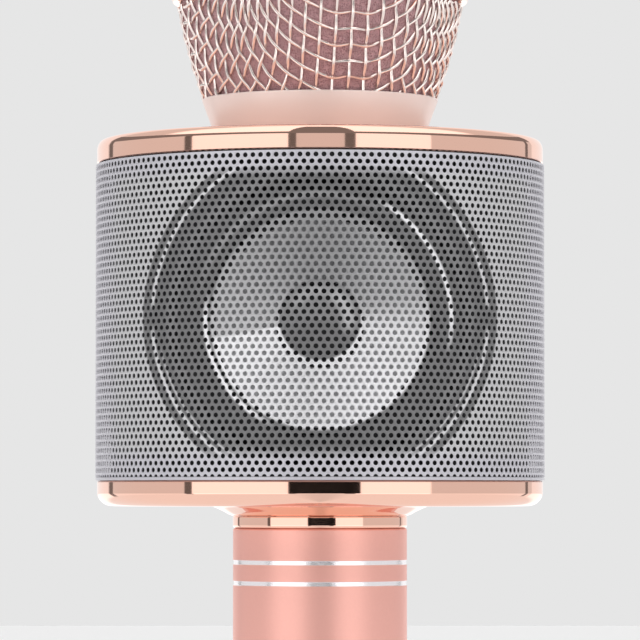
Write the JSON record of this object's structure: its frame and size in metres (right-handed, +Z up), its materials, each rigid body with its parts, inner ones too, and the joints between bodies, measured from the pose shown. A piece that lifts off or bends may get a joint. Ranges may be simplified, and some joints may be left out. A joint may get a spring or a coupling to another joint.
{
  "type": "karaoke microphone",
  "caption": "Handheld wireless karaoke microphone with a round wire-mesh head, a built-in loudspeaker drum behind a perforated grille, and a tubular handle with keys and level sliders.",
  "frame": {"origin": "centre of the flat end face of the handle, on the handle's axis", "axes": "+Z up along the handle from its end to the mesh head; -Y towards the front, where the loudspeaker and the keys face; +X to the right seen from the front"},
  "size_m": [0.0826, 0.0826, 0.2474],
  "materials": {
    "rose_gold_plating": "mirror-bright rose gold plating",
    "rose_gold_anodised": "satin anodised",
    "grille_sheet": "satin silver coat on perforated sheet",
    "head_wire": "plated woven wire",
    "steel": "bright steel",
    "black_plastic": "fine moulded texture",
    "panel_plastic": "gloss moulded, rose",
    "foam": "open-cell dark rose foam",
    "rubber": "soft matt",
    "cone_film": "metallised speaker cone film",
    "ferrite": "dark grey ferrite",
    "circuit_board": "green solder mask",
    "cell_wrap": "shrink film",
    "copper": "lacquered copper winding",
    "spider_cloth": "resin-dipped woven cloth",
    "lamp": "clear blue light pipe",
    "wire_jacket": "red insulation"
  },
  "bodies": {
    "handle": {"handle_tube": "rose_gold_anodised", "end_cap": "rose_gold_plating", "end_cap_screw": "steel", "charge_port": "steel", "audio_jack": "black_plastic", "battery_cradle": "black_plastic", "battery_cell": "cell_wrap", "neck_ring": "rose_gold_plating", "control_panel": "panel_plastic", "control_board": "circuit_board", "status_light": "lamp", "power_switch": "black_plastic", "mode_switch": "black_plastic", "previous_switch": "black_plastic", "play_switch": "black_plastic", "next_switch": "black_plastic", "mic_volume_slider_pot": "steel", "music_volume_slider_pot": "steel", "echo_slider_pot": "steel", "bottom_cap": "rose_gold_plating", "top_cap": "rose_gold_plating", "speaker_grille": "grille_sheet", "front_housing": "black_plastic", "rear_housing": "black_plastic", "housing_screw_1": "steel", "housing_screw_2": "steel", "amp_board": "circuit_board", "speaker_frame": "black_plastic", "speaker_trim": "steel", "speaker_screw_1": "steel", "speaker_screw_2": "steel", "speaker_screw_3": "steel", "speaker_screw_4": "steel", "surround": "rubber", "spider": "spider_cloth", "pole_plate": "steel", "magnet": "ferrite", "yoke": "steel", "collar_gasket": "rubber", "mic_capsule": "steel", "capsule_mount": "rubber", "battery_lead": "wire_jacket", "speaker_lead": "wire_jacket", "capsule_lead": "wire_jacket"},
    "head": {"head_collar": "rose_gold_plating", "ball_grille_lower": "head_wire", "ball_band": "rose_gold_plating", "ball_grille_upper": "head_wire", "foam_liner": "foam"},
    "cone": {"cone": "cone_film", "dust_cap": "rubber", "voice_coil": "copper"},
    "power_button": {"power_button": "rose_gold_plating"},
    "mode_button": {"mode_button": "rose_gold_plating"},
    "previous_button": {"previous_button": "rose_gold_plating"},
    "play_button": {"play_button": "rose_gold_plating"},
    "next_button": {"next_button": "rose_gold_plating"},
    "mic_volume_fader": {"mic_volume_fader": "rose_gold_plating"},
    "music_volume_fader": {"music_volume_fader": "rose_gold_plating"},
    "echo_fader": {"echo_fader": "rose_gold_plating"}
  },
  "joints": [
    {"name": "head_unscrew", "type": "slide", "parent": "handle", "child": "head", "axis": [0, 0, 1], "range_m": [0, 0.035]},
    {"name": "cone_travel", "type": "slide", "parent": "handle", "child": "cone", "axis": [0, -1, 0], "range_m": [-0.0008, 0.0008], "stiffness_N_per_m": 900, "deforming": ["surround", "spider"]},
    {"name": "power_press", "type": "slide", "parent": "handle", "child": "power_button", "axis": [0, 1, 0], "range_m": [0, 0.0006], "stiffness_N_per_m": 1200},
    {"name": "mode_press", "type": "slide", "parent": "handle", "child": "mode_button", "axis": [0, 1, 0], "range_m": [0, 0.0006], "stiffness_N_per_m": 1200},
    {"name": "previous_press", "type": "slide", "parent": "handle", "child": "previous_button", "axis": [0, 1, 0], "range_m": [0, 0.0006], "stiffness_N_per_m": 1200},
    {"name": "play_press", "type": "slide", "parent": "handle", "child": "play_button", "axis": [0, 1, 0], "range_m": [0, 0.0006], "stiffness_N_per_m": 1200},
    {"name": "next_press", "type": "slide", "parent": "handle", "child": "next_button", "axis": [0, 1, 0], "range_m": [0, 0.0006], "stiffness_N_per_m": 1200},
    {"name": "mic_volume_slide", "type": "slide", "parent": "handle", "child": "mic_volume_fader", "axis": [0, 0, 1], "range_m": [-0.006, 0.006]},
    {"name": "music_volume_slide", "type": "slide", "parent": "handle", "child": "music_volume_fader", "axis": [0, 0, 1], "range_m": [-0.006, 0.006]},
    {"name": "echo_slide", "type": "slide", "parent": "handle", "child": "echo_fader", "axis": [0, 0, 1], "range_m": [-0.006, 0.006]}
  ]
}
